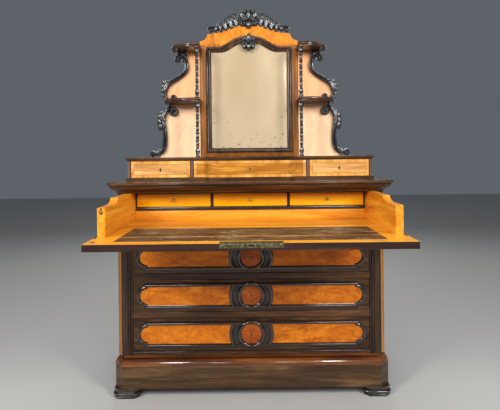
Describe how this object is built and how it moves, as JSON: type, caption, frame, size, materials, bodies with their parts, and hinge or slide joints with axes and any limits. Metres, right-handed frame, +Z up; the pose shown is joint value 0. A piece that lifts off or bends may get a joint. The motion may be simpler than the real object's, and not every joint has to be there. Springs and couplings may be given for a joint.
{
  "type": "vanity table with mirror",
  "caption": "Dressing commode with a pull-out writing drawer and drop front, drawers below, a gradin of small drawers and an arched mirror flanked by shelves.",
  "frame": {"origin": "centre of the bounding box's footprint, on the floor, with the writing drawer pulled out and its flap lowered", "axes": "+Z up, +X to the viewer's right, the front with the drawers faces -Y"},
  "size_m": [1.264, 1.0486, 1.863],
  "materials": {
    "rosewood": "french polished, dark streaked",
    "figured_veneer": "polished orange-brown veneer",
    "satinwood": "polished golden orange",
    "panel_veneer": "polished light reddish orange",
    "ebonised": "black, glossy polish",
    "pine": "raw, matt",
    "brass": "aged, dull",
    "desk_leather": "dark, worn",
    "mirror_glass": "silvered, slightly aged"
  },
  "bodies": {
    "case": {"feet": "rosewood", "plinth_boards": "rosewood", "plinth_moulding": "rosewood", "bottom_board": "pine", "side_panels": "rosewood", "corner_posts": "rosewood", "back_panel": "pine", "drawer_rails": "rosewood", "drawer_runners": "pine", "top_board": "rosewood", "cornice_moulding": "rosewood", "gradin_base": "rosewood", "gradin_top": "rosewood", "gradin_sides": "rosewood", "gradin_dividers": "rosewood", "gradin_back": "pine", "mirror_surround": "figured_veneer", "mirror_frame": "ebonised", "mirror_glass": "mirror_glass", "mirror_backboard": "pine", "crest_carving": "ebonised", "mirror_cartouche": "ebonised", "shelves_top": "rosewood", "shelves_middle": "rosewood", "etagere_panels": "panel_veneer", "scroll_brackets": "ebonised", "columns": "ebonised"},
    "writing_drawer": {"writing_bottom": "satinwood", "writing_side_left": "satinwood", "writing_side_right": "satinwood", "writing_case": "satinwood", "writing_back": "pine", "desk_leather": "desk_leather", "desk_fittings": "brass"},
    "catch": {"catch_button": "brass"},
    "flap": {"flap_board": "rosewood", "flap_leather": "desk_leather", "flap_lock": "brass", "flap_hinges": "brass"},
    "small_drawer_left": {"small_drawer_left": "satinwood", "small_knob_left": "brass"},
    "small_drawer_middle": {"small_drawer_middle": "satinwood", "small_knob_middle": "brass"},
    "small_drawer_right": {"small_drawer_right": "satinwood", "small_knob_right": "brass"},
    "gradin_drawer_left": {"gradin_drawer_left": "satinwood"},
    "gradin_drawer_middle": {"gradin_drawer_middle": "satinwood"},
    "gradin_drawer_right": {"gradin_drawer_right": "satinwood"},
    "lower_drawer_1": {"lower_front_1": "rosewood", "lower_box_1": "pine", "lower_panels_1": "figured_veneer", "lower_lock_1": "brass"},
    "lower_drawer_2": {"lower_front_2": "rosewood", "lower_box_2": "pine", "lower_panels_2": "figured_veneer", "lower_lock_2": "brass"},
    "lower_drawer_3": {"lower_front_3": "rosewood", "lower_box_3": "pine", "lower_panels_3": "figured_veneer", "lower_lock_3": "brass"}
  },
  "joints": [
    {"name": "writing_drawer_slide", "type": "slide", "parent": "case", "child": "writing_drawer", "axis": [0, 1, 0], "range_m": [0, 0.339]},
    {"name": "flap_hinge", "type": "hinge", "parent": "writing_drawer", "child": "flap", "pos_m": [0, -0.395, 0.759], "axis": [-1, 0, 0], "range_deg": [0, 90]},
    {"name": "catch_press", "type": "slide", "parent": "writing_drawer", "child": "catch", "axis": [0, 1, 0], "range_m": [0, 0.004], "stiffness_N_per_m": 600, "springref_m": -0.002},
    {"name": "small_drawer_left_slide", "type": "slide", "parent": "writing_drawer", "child": "small_drawer_left", "axis": [0, -1, 0], "range_m": [0, 0.1]},
    {"name": "small_drawer_middle_slide", "type": "slide", "parent": "writing_drawer", "child": "small_drawer_middle", "axis": [0, -1, 0], "range_m": [0, 0.1]},
    {"name": "small_drawer_right_slide", "type": "slide", "parent": "writing_drawer", "child": "small_drawer_right", "axis": [0, -1, 0], "range_m": [0, 0.1]},
    {"name": "gradin_drawer_left_slide", "type": "slide", "parent": "case", "child": "gradin_drawer_left", "axis": [0, -1, 0], "range_m": [0, 0.24]},
    {"name": "gradin_drawer_middle_slide", "type": "slide", "parent": "case", "child": "gradin_drawer_middle", "axis": [0, -1, 0], "range_m": [0, 0.24]},
    {"name": "gradin_drawer_right_slide", "type": "slide", "parent": "case", "child": "gradin_drawer_right", "axis": [0, -1, 0], "range_m": [0, 0.24]},
    {"name": "lower_drawer_1_slide", "type": "slide", "parent": "case", "child": "lower_drawer_1", "axis": [0, -1, 0], "range_m": [0, 0.4]},
    {"name": "lower_drawer_2_slide", "type": "slide", "parent": "case", "child": "lower_drawer_2", "axis": [0, -1, 0], "range_m": [0, 0.4]},
    {"name": "lower_drawer_3_slide", "type": "slide", "parent": "case", "child": "lower_drawer_3", "axis": [0, -1, 0], "range_m": [0, 0.4]}
  ]
}
